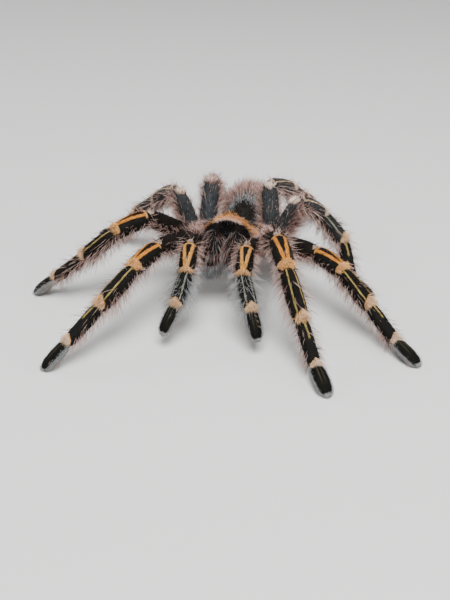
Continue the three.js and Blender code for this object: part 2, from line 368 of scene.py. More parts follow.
def close_nap():
    """The close velvet of a spider's plates: a base colour with dusty patches from a broad noise
    times a fine one, and the fine noise as the height and the roughness of hair tips."""
    tree, given, result = new_group("close nap", {
        "Base": (0.02, 0.018, 0.016, 1), "Dust": (0.05, 0.045, 0.042, 1), "Patch scale": 260.0,
    }, {"Color": "NodeSocketColor", "Height": "NodeSocketFloat", "Roughness": "NodeSocketFloat"})
    place = wired("ShaderNodeTexCoord", {}, tree).outputs["Object"]
    patch, grain = noise(place, given["Patch scale"], 4.0), noise(place, NAP_GRAIN)
    dusty = maths("MINIMUM", times(patch, grain, DUST_SHARE), 1.0)
    fill(result, {
        "Color": mixed(dusty, given["Base"], given["Dust"]),
        "Height": grain,
        "Roughness": maths("MULTIPLY_ADD", grain, 0.3, 0.5),
    })
    return tree


nap_group = close_nap()


def nap_material(name, base, dust, sheen=0.01, patch=260.0, bump=0.4):
    """Velvet skin: the close nap on a Principled shader with sheen. Returns the material, its
    shader and the nap's colour, so that markings can be laid over it."""
    material, tree, shader = new_material(name)
    nap = wired("ShaderNodeGroup", {"Base": (*base, 1), "Dust": (*dust, 1), "Patch scale": patch}, tree,
                node_tree=nap_group).outputs
    tips = wired("ShaderNodeBump", {"Height": nap["Height"], "Strength": bump, "Distance": 0.0004})
    fill(shader, {
        "Base Color": nap["Color"], "Roughness": nap["Roughness"], "Normal": tips.outputs["Normal"],
        "Sheen Weight": sheen, "Sheen Roughness": 0.4, "Sheen Tint": (0.6, 0.66, 0.62, 1),
        "Specular IOR Level": 0.04,
    })
    return material, shader, nap["Color"]


def hair_material():
    """Every hair's finish: across the map lies the palette, and along the map each hair pales
    from a dark root to its full colour."""
    material, tree, shader = new_material("hair")
    _, along_hair, step = map_place(tree)
    ramp = wired("ShaderNodeValToRGB", {"Fac": step})
    elements = ramp.color_ramp.elements
    while len(elements) < len(PALETTE):
        elements.new(0.5)
    for element, (position, colour) in zip(elements, PALETTE):
        element.position, element.color = position, (*colour, 1)
    full = ramp.outputs["Color"]
    root = mixed(0.55, full, (0.01, 0.008, 0.007, 1))
    fill(shader, {
        "Base Color": mixed(masked(along_hair, -0.2, 0.45), root, full),
        "Roughness": 0.45, "Specular IOR Level": 0.06,
    })
    return material


hair = hair_material()


def make_coat(name, slot, coats):
    """All the hair of one piece."""
    make_piece(f"{name}_coat", stacked(coats), hair, slot)


CARAPACE_LENGTH, CARAPACE_WIDTH, HEAD_WIDTH = 27.4, 23.9, 16.4
CARAPACE_DOME, CARAPACE_UNDER = 2.9, 0.9  # how far the shield rises above its rim and hangs below it
RIM_Z, HEAD_LIFT, HEAD_SAG = 3.6, 4, 8  # the rim's height, its lift at the head and its sag there
HUMP_HEIGHT, HUMP_Y, HUMP_WIDTH, HUMP_LENGTH = 1.5, -10.4, 2.1, 1.5
CREASE_DEPTH = 0.4
PIT_Y, PIT_DEPTH, PIT_WIDTH, PIT_LENGTH = 1.5, 0.8, 1.6, 0.7  # the pit where the creases meet


def head_share(y):
    """0 over the rear half of the shield, rising to 1 at its front pole, y = -1."""
    return smooth(-0.1, 1, -y)


def eye_hump(x, y):
    """The height of the eye hump: a bell curve across and along."""
    return HUMP_HEIGHT * np.exp(-((x / HUMP_WIDTH) ** 2) - ((y - HUMP_Y) / HUMP_LENGTH) ** 2)


def rise(u):
    """How high a place is on a ring of radius 1: 1 at its top, u = 0.25, and -1 at its bottom."""
    return np.sin(2 * np.pi * u)


def sway(u):
    """How far to the side a place is on a ring of radius 1."""
    return np.cos(2 * np.pi * u)


def carapace(u, v):
    """A flattened ball lying along y, from its rear pole to its front one. Towards the head it
    narrows, lifts, and bends down at both sides, as the cube of the distance from the middle and
    the square of how far forward the place is. The eye hump stands on it, and eight creases run
    out from a bell-shaped pit in the middle, as the eighth power of the cosine of four turns."""
    y = 1 - 2 * v
    ring = np.sqrt(np.maximum(0, 1 - y * y))
    x, z = sway(u) * ring, rise(u) * ring
    head = head_share(y)
    across = np.clip(x * (1 + 0.9 * head * np.abs(y)), -1, 1)
    x = across * (CARAPACE_WIDTH + (HEAD_WIDTH - CARAPACE_WIDTH) * head) / 2
    y = y * CARAPACE_LENGTH / 2
    out = np.hypot(x, y - PIT_Y)
    crease = np.cos(4 * np.arctan2(x, y - PIT_Y)) ** 8 * smooth(1.2, 3.5, out) * (1 - smooth(7, 11, out))
    pit = np.exp(-((x / PIT_WIDTH) ** 2) - ((y - PIT_Y) / PIT_LENGTH) ** 2)
    top = np.clip(z, 0, 1)
    upper = top * CARAPACE_DOME + eye_hump(x, y) * np.minimum(1, top * 3)
    upper = upper - np.minimum(1, top * 2) * (CREASE_DEPTH * crease + PIT_DEPTH * pit)
    lower = np.minimum(z, 0) * CARAPACE_UNDER
    rim = RIM_Z + head * HEAD_LIFT - head**2 * np.abs(across) ** 3 * HEAD_SAG
    return on_front(x, y, rim + upper + lower)


FRINGE_FROM, FRINGE_FULL = 0.73, 0.86  # where the fringe begins and is at its full strength, by v
carapace_nap, shell_shader, shell_colour = nap_material(
    "carapace nap", (0.006, 0.0057, 0.0057), (0.034, 0.034, 0.035), patch=170.0)
_, shell_u, shell_v = map_place(shell_shader.id_data)
shell_ring = maths("SQRT", maths("MULTIPLY_ADD", shell_v, times(shell_v, -1.0), shell_v))
shell_height = times(maths("SINE", times(shell_u, 2 * np.pi)), shell_ring, 2.0)  # as ball_height
shell_band = times(masked(shell_height, 0.6, 0.42), masked(shell_height, -0.06, 0.0),
                   masked(shell_v, FRINGE_FROM, FRINGE_FULL))
shell_middle = times(masked(shell_v, 0.86, 0.95), masked(shell_height, 0.4, 0.15))
shell_pink = mixed(shell_middle, (0.56, 0.2, 0.05, 1), (0.74, 0.42, 0.28, 1))
fill(shell_shader, {"Base Color": mixed(shell_band, shell_colour, shell_pink)})
make_skin("carapace", sack(carapace, 96, 72), carapace_nap, "shell")

BACKWARD = FRONT_TURN @ np.array([0, 1.0, 0])


def everywhere(u, v):
    """The whole of a surface."""
    return np.ones_like(u)


def ball_height(u, v):
    """How high a place is on a ball of radius 1 whose poles lie level."""
    return rise(u) * np.sqrt(1 - (1 - 2 * v) ** 2)


def shield_top(u, v):
    """The upper side of a skin, u = 0.25 being its ridge."""
    return (rise(u) > 0.08).astype(float)


def shield_rim(u, v):
    """A bell curve about the shield's edge, strong round the head and faint behind."""
    height = ball_height(u, v)
    along = 0.05 + 0.95 * smooth(FRINGE_FROM, FRINGE_FULL, v)
    return np.exp(-(((height - 0.22) / 0.27) ** 2)) * (height > -0.05) * along


def shield_sides(u, v):
    """The shield's edge beside and behind the head, over the leg bases."""
    return np.exp(-(((ball_height(u, v) - 0.1) / 0.25) ** 2)) * smooth(0.85, 0.7, v)


def out_of_shield(u, v):
    """The flow of the fringe: away from the middle of the shield, and a little down."""
    return unit(carapace(u, v) - on_front(0, 3, 3)) - np.array([0, 0, 0.25])


def under_rim(u, v):
    """The lower side of the shield's front edge."""
    return smooth(0.8, 0.9, v) * smooth(-0.06, -0.14, ball_height(u, v))


def rim_middle(u, v):
    """The middle of the shield's front edge, from below."""
    return under_rim(u, v) * np.exp(-((sway(u) / 0.35) ** 2))


def rim_ends(u, v):
    """The two ends of the head's rim, beside the jaws."""
    return np.exp(-((ball_height(u, v) / 0.12) ** 2) - ((v - 0.86) / 0.045) ** 2)


def on_hump(u, v):
    """A bell curve about the eye hump."""
    return np.exp(-(((v - 0.88) / 0.03) ** 2) - ((u - 0.25) / 0.05) ** 2)


def fringe_shade(rng, u, v):
    """Pinkish white along the lower middle of the head's rim, orange above that and at its ends."""
    side = np.abs(sway(u)) * (1 - smooth(0.88, 0.98, v))
    orange = rng.random(len(u)) < 0.12 + 0.8 * smooth(0.12, 0.42, ball_height(u, v)) + 1.2 * side
    return np.where(orange, rng.uniform(0.78, 0.9, len(u)), rng.uniform(0.54, 0.68, len(u)))


def hanging(forward):
    """A way down, and forward by this share."""
    return np.array([0, -forward, -1.0])


make_coat("carapace", "shell", [
    grown(11, carapace, 4200, shield_top, BACKWARD, (1.1, 1.3), (0.5, 1.0), (0.1, 0.16), (0.16, 0.27)),
    grown(12, carapace, 3400, shield_top, BACKWARD, (1.0, 1.3), (0.5, 1.1), (0.1, 0.16), BLACK),
    grown(13, carapace, 9000, shield_rim, out_of_shield, (0.9, 1.35), (0.7, 1.4), (0.16, 0.24),
          fringe_shade),
    grown(14, carapace, 400, shield_rim, out_of_shield, (0.6, 1.2), (1.4, 2.6), (0.1, 0.16), PALE,
          long_hairs, curl=0.2),
    grown(16, carapace, 1500, shield_sides, out_of_shield, (0.3, 1.1), (1.8, 3.8), (0.13, 0.19), (0.4, 0.62),
          long_hairs, curl=0.25),
    grown(17, carapace, 420, under_rim, hanging(0.4), (0.5, 1.2), (2.2, 3.8), (0.1, 0.16), (0.03, 0.2),
          long_hairs, droop=0.2),
    grown(18, carapace, 90, rim_middle, hanging(0.6), (0.5, 1.0), (1.6, 2.6), (0.12, 0.18), (0.33, 0.345),
          long_hairs, spread=0.1, droop=0.2),
    grown(19, carapace, 420, rim_ends, hanging(0.3), (0.7, 1.2), (1.6, 2.8), (0.16, 0.22), (0.76, 0.86),
          long_hairs, spread=0.08, droop=0.2),
    grown(15, carapace, 260, on_hump, -BACKWARD, (0.2, 0.9), (1.2, 2.2), (0.1, 0.16), BLACK, long_hairs),
])

EYES = ((0.75, -11.1, 0.36), (1.55, -10.4, 0.27), (1.35, -11.5, 0.25), (0.8, -9.9, 0.2))  # x, y, radius
HEAD_HALF = 8.5  # half of the head's breadth at the eyes


def eye(x, y, radius):
    """A small ball sunk by half in the eye hump: its middle is the shield's top at x and y."""
    along = 2 * y / CARAPACE_LENGTH
    dome = np.sqrt(1 - along**2 - (x / HEAD_HALF) ** 2) * CARAPACE_DOME
    middle = on_front(x, y, RIM_Z + head_share(along) * HEAD_LIFT + dome + eye_hump(x, y))
    def ball(u, v):
        ring = 2 * np.sqrt(v - v * v)
        across, up = ring * sway(u), ring * rise(u)
        return middle + radius * np.stack([across, up, 1 - 2 * v], -1)
    return ball


eye_glass, eye_tree, eye_shader = new_material("eye")
eye_cloud = solid_noise(eye_tree, 2500.0)
fill(eye_shader, {
    "Base Color": mixed(eye_cloud, (0.005, 0.004, 0.004, 1), (0.03, 0.018, 0.012, 1)),
    "Roughness": maths("MULTIPLY_ADD", eye_cloud, 0.12, 0.06),
})
make_piece("eyes", side_by_side([
    sack(eye(side * x, y, radius), 16, 10) for x, y, radius in EYES for side in (1, -1)
]), eye_glass, "shell")

# ----------------------------------------------
# Underside: the breastplate, the lip, and packed round them the short first joints of the eight
# legs and two palps, each a hard dark plate or ring, sewn together by soft skin. Long rusty
# pink hair stands out of every gap.

UP = np.array([0, 0, 1.0])
STERNUM_LENGTH, STERNUM_WIDTH, STERNUM_THICK = 14, 12, 5.5
LIP_LENGTH, LIP_WIDTH, LIP_THICK = 3.4, 3.2, 2.2
HIPS = {  # where a limb's first joint starts and where it ends, on the left side
    "palp": ((3.6, -6.5, -1.2), (10.2, -14.4, -0.5)),
    "leg_1": ((4.6, -4.0, -0.6), (13.4, -10.9, 0.3)),
    "leg_2": ((5.2, -1.2, -0.6), (15.8, -3.6, 0.7)),
    "leg_3": ((5.2, 1.8, -0.6), (15.4, 4.4, 0.9)),
    "leg_4": ((4.2, 4.8, -0.6), (12.4, 12.0, 1.1)),
}
COXA_RADII, RING_RADII = (2.6, 2.95, 2.6), (2.35, 2.65, 2.3)  # the first joint and the ring after it
PALP_SLIMMER = 0.88
RUST = (0.36, 0.47)  # a span of the palette


def egg(middle, width, length, height, narrow, turn, blunt=2.0):
    """A ball squeezed to these sizes along y, with a radius of the root of 1 - |y|^blunt, whose
    front half narrows by narrow times the square of the distance from its middle. It is turned by
    a matrix and moved to its place."""
    def surface(u, v):
        y = 1 - 2 * v
        ring = np.sqrt(np.maximum(0, 1 - np.abs(y) ** blunt)) * (1 - narrow * np.maximum(0, -y) ** 2)
        x, z = sway(u) * ring * width / 2, rise(u) * ring * height / 2
        return np.stack([x, y * length / 2, z], -1) @ turn.T + middle
    return surface


def tube(start, end, radii, flat=1.0, arch=0.0, blunt=8):
    """A round-ended tube carried along a line: its radius eases through radii at even steps, times
    the root of 1 - |2v - 1|^blunt. It is flattened from above, and arches up by half a sine.
    u = 0.25 is its upper ridge."""
    along = unit(end - start)
    upper = unit(UP - (UP @ along) * along)
    side = np.cross(along, upper)
    def surface(u, v):
        cap = np.sqrt(np.maximum(0, 1 - np.abs(2 * v - 1) ** blunt))
        radius = (eased(v, np.linspace(0, 1, len(radii)), radii) * cap)[..., None]
        angle = 2 * np.pi * np.asarray(u)[..., None]
        ring = side * np.cos(angle) + upper * flat * np.sin(angle)
        bow = upper * arch * np.sin(np.pi * v)[..., None]
        return start + (end - start) * v[..., None] + bow + radius * ring
    return surface


breastplate = egg(on_front(0, 0.5, -0.6), STERNUM_WIDTH, STERNUM_LENGTH, STERNUM_THICK, 0.1, FRONT_TURN)
lip = egg(on_front(0, -6.6, -2.6), LIP_WIDTH, LIP_LENGTH, LIP_THICK, 0, FRONT_TURN)
first_joints = []
for kind, (socket, hip) in HIPS.items():
    slim = PALP_SLIMMER if kind == "palp" else 1
    coxa_radii, ring_radii = ([radius * slim for radius in radii] for radii in (COXA_RADII, RING_RADII))
    for mirror in (1, -1):
        start, end = on_front(socket[0] * mirror, *socket[1:]), on_front(hip[0] * mirror, *hip[1:])
        way = unit(end - start)
        first_joints.append(tube(start, end - 1.6 * way, coxa_radii, 0.95))
        first_joints.append(tube(end - 3.0 * way, end + 1.0 * way, ring_radii, blunt=4))
belly_plates = nap_material("belly plates", (0.016, 0.011, 0.009), (0.07, 0.045, 0.036), patch=300.0)[0]
make_skin("underside", side_by_side(
    [sack(breastplate, 48, 32), sack(lip, 24, 16)] + [sack(joint, 28, 20) for joint in first_joints]
), belly_plates, "breastplate")


def lower_half(u, v):
    """The lower side of a skin."""
    return (rise(u) < 0).astype(float)


belly_middle = on_front(0, 0, 2)
underside_parts = [
    grown(21, breastplate, 2600, lower_half, BACKWARD, (0.6, 1.2), (0.8, 1.6), (0.1, 0.16), (0.02, 0.16)),
    grown(22, breastplate, 500, lower_half, BACKWARD, (0.4, 1.0), (1.8, 3.0), (0.12, 0.17), RUST,
          long_hairs, curl=0.2),
]
for n, joint in enumerate(first_joints):  # the palps' two joints and two rings come first
    away = unit(joint(np.zeros(1), np.ones(1))[0] - belly_middle)
    share = (1.0 if n % 2 else 1.6) * (0.5 if n < 4 else 1.0)
    underside_parts += [
        grown(30 + n, joint, int(420 * share), everywhere, away, (0.7, 1.2), (0.7, 1.4), (0.12, 0.18),
              (0.02, 0.12)),
        grown(50 + n, joint, int(160 * share), everywhere, away, (0.5, 1.2), (1.0, 2.0), (0.12, 0.18), RUST),
        grown(80 + n, joint, int(230 * share), everywhere, away, (0.3, 1.0), (2.0, 3.8), (0.13, 0.19),
              (0.39, 0.62), long_hairs, curl=0.25),
    ]
make_coat("underside", "breastplate", underside_parts)

# ----------------------------------------------
# Waist: the narrow stalk between the front body and the abdomen, soft brown skin that has dried
# into a short waisted tube, and is grown on to both.

WAIST_LENGTH, WAIST_FRONT = 4.6, 11.6
WAIST_RADII = (1.5, 1.45, 1.3, 1.5, 1.7)
waist_start, waist_end = (on_front(0, y, WAIST_Z) for y in (WAIST_FRONT, WAIST_FRONT + WAIST_LENGTH))
waist_surface = tube(waist_start - 1.2 * BACKWARD, waist_end + 0.9 * BACKWARD, WAIST_RADII)
waist_velvet = nap_material("waist skin", (0.05, 0.03, 0.022), (0.14, 0.09, 0.07), patch=700.0)[0]
make_skin("pedicel", sack(waist_surface, 32, 28), waist_velvet, "abdomen_skin", "waist")

# ----------------------------------------------
# Abdomen: a soft egg-shaped bag of skin that dried in shallow folds. It is dark brown velvet,
# with a ring of grey, painted highlight of light caught by the hair, round a black patch at its
# front and long pinkish hairs all over.

REAR_TURN = nose_up(-9)  # degrees
TO_THE_REAR = REAR_TURN @ np.array([0, 1.0, 0])
GAP = 0.3  # between the waist and the bag
ABDOMEN_LENGTH, ABDOMEN_WIDTH, ABDOMEN_HEIGHT = 30, 17.4, 16
FOLD_DEPTH, DIMPLE_DEPTH = 0.012, 0.035  # as shares of the bag's thickness
# The grey ring is painted highlight: light caught by the short hair round the dark front patch.
PATCH_ANGLE, HIGHLIGHT_RING_ANGLE = 0.6, 0.96  # how far the black patch and the grey ring reach
abdomen_egg = egg(waist_end + (ABDOMEN_LENGTH / 2 + GAP) * TO_THE_REAR, ABDOMEN_WIDTH,
                  ABDOMEN_LENGTH, ABDOMEN_HEIGHT, 0.22, REAR_TURN)


def abdomen(u, v):
    """The egg with the shallow folds of a dried bag: nine rings round it that fade out upwards, as
    a sine of v that wavers with u, and two rows of small dimples along its back, as bell curves
    across and the eighth power of a cosine along."""
    middle = waist_end + ABDOMEN_LENGTH * (1 - v)[..., None] * TO_THE_REAR
    waver = 0.12 * np.sin(6 * np.pi * u)
    fold = FOLD_DEPTH * np.sin(2 * np.pi * (9 * v + waver)) * smooth(0.5, -0.4, rise(u))
    across = np.abs(sway(u)) - 0.3
    dimple = DIMPLE_DEPTH * np.exp(-((across / 0.1) ** 2)) * np.cos(5 * np.pi * v) ** 8 * (rise(u) > 0)
    swell = (fold - dimple) * smooth(0, 0.1, v) * smooth(1, 0.9, v)
    return middle + (abdomen_egg(u, v) - middle) * (1 + swell)[..., None]


def front_face(u, v):
    """How far round the bag a place is from the middle of its upper front, as an angle."""
    towards = 0.8 * (2 * v - 1) + 0.6 * ball_height(u, v)
    return np.arccos(np.clip(towards, -1, 1))


def ring_highlight_shade(rng, u, v):
    """The short hair's shade: dark on the upper front, a blue-grey painted highlight round it, then brown.
    """
    away = front_face(u, v) + rng.normal(0, 0.07, len(u))
    grey, brown = rng.uniform(0.285, 0.34, len(u)), rng.uniform(0.05, 0.24, len(u))
    behind = np.where(away < HIGHLIGHT_RING_ANGLE, grey, brown)
    return np.where(away < PATCH_ANGLE, rng.uniform(0.0, 0.17, len(u)), behind)


def behind_patch(u, v):
    """Everywhere but the dark upper front."""
    return smooth(0.62, 0.95, front_face(u, v))


abdomen_velvet = nap_material(
    "abdomen velvet", (0.010, 0.008, 0.007), (0.045, 0.04, 0.037), sheen=0.1, patch=140.0)[0]
make_skin("abdomen", sack(abdomen, 96, 72), abdomen_velvet, "abdomen_skin")
make_coat("abdomen", "abdomen_skin", [
    grown(101, abdomen, 15000, everywhere, TO_THE_REAR, (0.8, 1.25), (0.9, 1.6), (0.13, 0.19), ring_highlight_shade),
    grown(102, abdomen, 3600, behind_patch, TO_THE_REAR, (0.5, 1.1), (1.6, 2.8), (0.12, 0.17), (0.36, 0.52)),
    grown(103, abdomen, 2600, behind_patch, TO_THE_REAR, (0.3, 0.9), (2.8, 4.8), (0.13, 0.2), (0.42, 0.62),
          long_hairs, curl=0.3, droop=0.05),
])

# ----------------------------------------------
# Spinnerets: the two long fingers at the abdomen's end that lay silk, each three soft hairy
# joints on one stalk.


def poles(node):
    """The two ends of a node's long axis, in millimetres: its two points that are farthest apart."""
    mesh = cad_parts[node].data
    points = np.empty(len(mesh.vertices) * 3, np.float32)
    mesh.vertices.foreach_get("co", points)
    points = np.unique(np.round(points.reshape(-1, 3) * 1000, 3), axis=0).astype(float)
    apart = np.linalg.norm(points[:, None] - points[None], axis=-1)
    return points[list(np.unravel_index(apart.argmax(), apart.shape))]


SPINNERET_JOINTS = (  # where each joint starts and ends along the finger, and its radii
    (0.0, 0.42, (1.1, 1.25, 1.1)), (0.36, 0.74, (0.95, 1.05, 0.9)), (0.68, 1.0, (0.8, 0.8, 0.55)),
)
for side in ("left", "right"):
    near, far = sorted(poles(f"spinneret_{side}"), key=lambda point: np.linalg.norm(point - waist_end))
    along = far - near
    joints = [tube(near + along * a, near + along * b, radii, blunt=5) for a, b, radii in SPINNERET_JOINTS]
    make_skin(f"spinneret_{side}", side_by_side([sack(joint, 24, 18) for joint in joints]), abdomen_velvet,
              "abdomen_skin")
    make_coat(f"spinneret_{side}", "abdomen_skin", [
        grown(111 + n, joint, 420, everywhere, along, (0.8, 1.2), (0.5, 1.0), (0.1, 0.14), (0.05, 0.32))
        for n, joint in enumerate(joints)
    ])

# ----------------------------------------------
# Jaws: two deep blunt cases of black horn side by side under the shield's front rim. Dark hair
# covers their roots, long pinkish and grey hairs hang down their fronts, and a thick grey fringe
# along their lower ends hides the fangs.

JAW_LENGTH, JAW_WIDTH, JAW_HEIGHT, JAW_DROOP = 17.2, 7.8, 13.2, 38
JAW_X, JAW_Y, JAW_Z = 3.8, -16.3, -1.7
JAW_BLUNT = 3.4
JAW_TURN = FRONT_TURN @ nose_up(-JAW_DROOP)
DOWN_THE_JAW = JAW_TURN @ unit(np.array([0, -0.9, -0.45]))
jaw_nap = nap_material("jaw nap", (0.003, 0.0026, 0.0022), (0.015, 0.012, 0.0105), patch=300.0)[0]


def jaw_end(u, v):
    """The lower front end of a jaw."""
    return smooth(0.74, 0.9, v) * smooth(0.1, -0.5, rise(u))


def jaw_front(u, v):
    """The upper and outer front of a jaw, bare towards its root."""
    return smooth(0.3, 0.5, v) * smooth(-0.9, 0.3, rise(u))


def jaw_root(u, v):
    """The top of a jaw's root, under the shield's rim."""
    return smooth(0.5, 0.3, v) * smooth(-0.4, 0.2, rise(u))


for side, mirror in (("left", 1), ("right", -1)):
    middle = on_front(mirror * JAW_X, JAW_Y, JAW_Z)
    jaw = egg(middle, JAW_WIDTH, JAW_LENGTH, JAW_HEIGHT, 0, JAW_TURN, JAW_BLUNT)
    make_skin(f"chelicera_{side}", sack(jaw, 56, 40), jaw_nap, "jaw")
    apart = DOWN_THE_JAW + np.array([mirror * 0.25, 0, 0])
    low = apart - 0.8 * UP
    make_coat(f"chelicera_{side}", "jaw", [
        grown(121, jaw, 4200, everywhere, DOWN_THE_JAW, (0.8, 1.2), (0.6, 1.3), (0.12, 0.18), (0.0, 0.1)),
        grown(122, jaw, 170, jaw_front, apart, (0.8, 1.25), (3.2, 5.8), (0.08, 0.12), (0.4, 0.58),
              long_hairs, droop=0.35, spread=0.1),
        grown(123, jaw, 110, jaw_front, apart, (0.8, 1.25), (3.0, 5.2), (0.08, 0.12), (0.26, 0.33),
              long_hairs, droop=0.35, spread=0.1),
        grown(124, jaw, 1100, jaw_end, low, (0.4, 1.0), (1.8, 3.2), (0.12, 0.18), (0.25, 0.335),
              long_hairs, droop=0.45),
        grown(125, jaw, 250, jaw_end, low, (0.4, 1.0), (2.0, 3.4), (0.12, 0.17), (0.33, 0.345), droop=0.45),
        grown(126, jaw, 420, jaw_root, DOWN_THE_JAW, (0.4, 1.1), (1.6, 3.2), (0.1, 0.15), (0.05, 0.2),
              long_hairs, curl=0.2),
    ])

# ----------------------------------------------
# Fangs: two hooks of black horn, glossy and dark red-brown towards the point, hinged to the jaws'
# ends and folded back under them.

FANG_LENGTH, FANG_RADIUS, FANG_BEND = 9, 1.3, 45
FANG_X, FANG_Y, FANG_Z = 3.8, -19.5, -11.1
fang_horn, fang_tree, fang_shader = new_material("fang horn")
_, _, fang_v = map_place(fang_tree)
fill(fang_shader, {
    "Base Color": mixed(masked(fang_v, 0.4, 1.0), (0.008, 0.006, 0.005, 1), (0.075, 0.016, 0.008, 1)),
    "Roughness": maths("MULTIPLY_ADD", solid_noise(fang_tree, 1500.0), 0.2, 0.15),
})
for side, mirror in (("left", 1), ("right", -1)):
    def fang(u, v):
        """A cone whose middle line is part of a circle: after a turn t it has run bow sin t back and
        bow (1 - cos t) up. Its own radius falls evenly to the point, with a rounded root."""
        bow = FANG_LENGTH / np.radians(FANG_BEND)
        turn = v * np.radians(FANG_BEND)
        radius = FANG_RADIUS * (1 - v) ** 0.9 * np.sqrt(np.minimum(1, v / 0.08))
        out = bow - radius * rise(u)
        return on_front(mirror * FANG_X + radius * sway(u), FANG_Y + out * np.sin(turn),
                        FANG_Z + bow - out * np.cos(turn))
    make_skin(f"fang_{side}", sack(fang, 32, 32), fang_horn, "fang")

# ----------------------------------------------
# Femurs: the long first segments of the ten limbs, hard tubes under velvet with dense pinkish
# hair low on their sides. The front ones are black, and the rear four greyer with a pale tuft at
# the knee, which is a longer and rustier one on the right fourth leg. The rear ones' grey velvet
# and nap are partly painted light that they catch, and the right fourth femur's bluer velvet is
# painted light.

PARTS = ("femur", "patella", "tibia", "metatarsus", "tarsus")
LIMBS = [f"{kind}_{side}" for kind in HIPS for side in ("left", "right")]
PARALLEL = 0.004  # the squared sine of an angle too small to bend a limb


def place_of(limb):
    """Whether a limb is a palp, a front leg (the first two) or a rear one (the last two)."""
    if limb.startswith("palp"):
        return "palp"
    return "front" if limb[4] in "12" else "rear"


def limb_parts(limb):
    """The names of a limb's segments, from the body out. A palp has no metatarsus."""
    return [part for part in PARTS if part != "metatarsus" or place_of(limb) != "palp"]


def limb_joints(limb):
    """The joints of a limb, from its nodes. Each node's long axis is a line, and a joint is the
    middle of the shortest bridge between two neighbouring lines, or of the gap between their ends
    where they run straight on."""
    reached, lines = front_origin, []
    for part in limb_parts(limb):
        ends = sorted(poles(f"{limb}_{part}"), key=lambda point: np.linalg.norm(point - reached))
        lines.append(ends)
        reached = ends[1]
    joints = [lines[0][0]]
    for (p, p_end), (q, q_end) in zip(lines, lines[1:]):
        one, other = unit(p_end - p), unit(q_end - q)
        square = np.cross(one, other)
        if square @ square < PARALLEL:
            joints.append((p_end + q) / 2)
            continue
        on_one = np.cross(q - p, other) @ square / (square @ square)
        on_other = np.cross(q - p, one) @ square / (square @ square)
        joints.append((p + on_one * one + q + on_other * other) / 2)
    return joints + [lines[-1][1]]


JOINTS = {limb: limb_joints(limb) for limb in LIMBS}


def segment(limb, part, radii, before, after, flat=1.0, arch=0.0, blunt=9):
    """A limb segment's surface: a tube from joint to joint, run on past each by before and after.
    Returns it and its way, away from the body."""
    n = limb_parts(limb).index(part)
    start, end = JOINTS[limb][n], JOINTS[limb][n + 1]
    way = unit(end - start)
    slim = PALP_SLIMMER if place_of(limb) == "palp" else 1
    return tube(start - way * before, end + way * after, [r * slim for r in radii], flat, arch, blunt), way


CREAM, YELLOW = (0.67, 0.8), (0.94, 1.0)  # spans of the palette
PLAIN = dict(  # where a segment's markings lie on its map: the lines, the arc and the cuff
    apart=0.1, apart_end=0.0, line=-0.1, start=0.1, stop=0.8, stripe_shade=YELLOW,
    arc_at=0.1, arc=0.0, arc_reach=0.15,
    cuff_from=0.85, cuff_full=0.95, cuff_reach=0.0, cuff_shade=CREAM, cuff_hairs=560, cuff_length=(1.0, 2.2),
)
LINE_BLUR, START_BLUR, STOP_BLUR, ARC_BLUR = 0.006, 0.02, 0.04, 0.012
ARC_DROOP = 1.2  # how much the arc bends towards the foot


def edge(x, at, blur):
    """0 to 1 as x passes a place, over a blur to each side of it, or 1 to 0 for a blur below 0."""
    return smooth(at - blur, at + blur, x)


def cuff_share(marks, u, v):
    """1 on the pale tuft at a segment's far end: over its ridge, wider the nearer to the end."""
    reach = marks["cuff_reach"] * smooth(marks["cuff_from"], marks["cuff_full"], v)
    return smooth(0.03, -0.01, np.abs(u - 0.25) - reach) * (v > marks["cuff_from"])


def stripe_share(marks, u, v):
    """1 on the bright lines: two lines that run from one distance off the ridge to another, and
    an arc across the near end that droops with the square of the distance from the ridge."""
    off = np.abs(u - 0.25)
    line = np.abs(off - marks["apart"] - (marks["apart_end"] - marks["apart"]) * v)
    lines = edge(line, marks["line"], -LINE_BLUR) * edge(v, marks["start"], START_BLUR)
    lines = lines * edge(v, marks["stop"], -STOP_BLUR)
    arc = np.abs(v - marks["arc_at"] - ARC_DROOP * off**2)
    arcs = edge(arc, marks["arc"], -ARC_BLUR) * edge(off, marks["arc_reach"], -START_BLUR)
    return np.maximum(lines, arcs if marks["arc"] else 0)


def low_sides(u, v):
    """The lower half, thinner up the sides and thinnest along the ridge."""
    return 0.06 + 0.94 * smooth(0.6, -0.35, rise(u))


HAIR_SHADES = dict(nap=BLACK, side=(0.44, 0.63), wool=(0.39, 0.58), bristle=(0.0, 0.1))


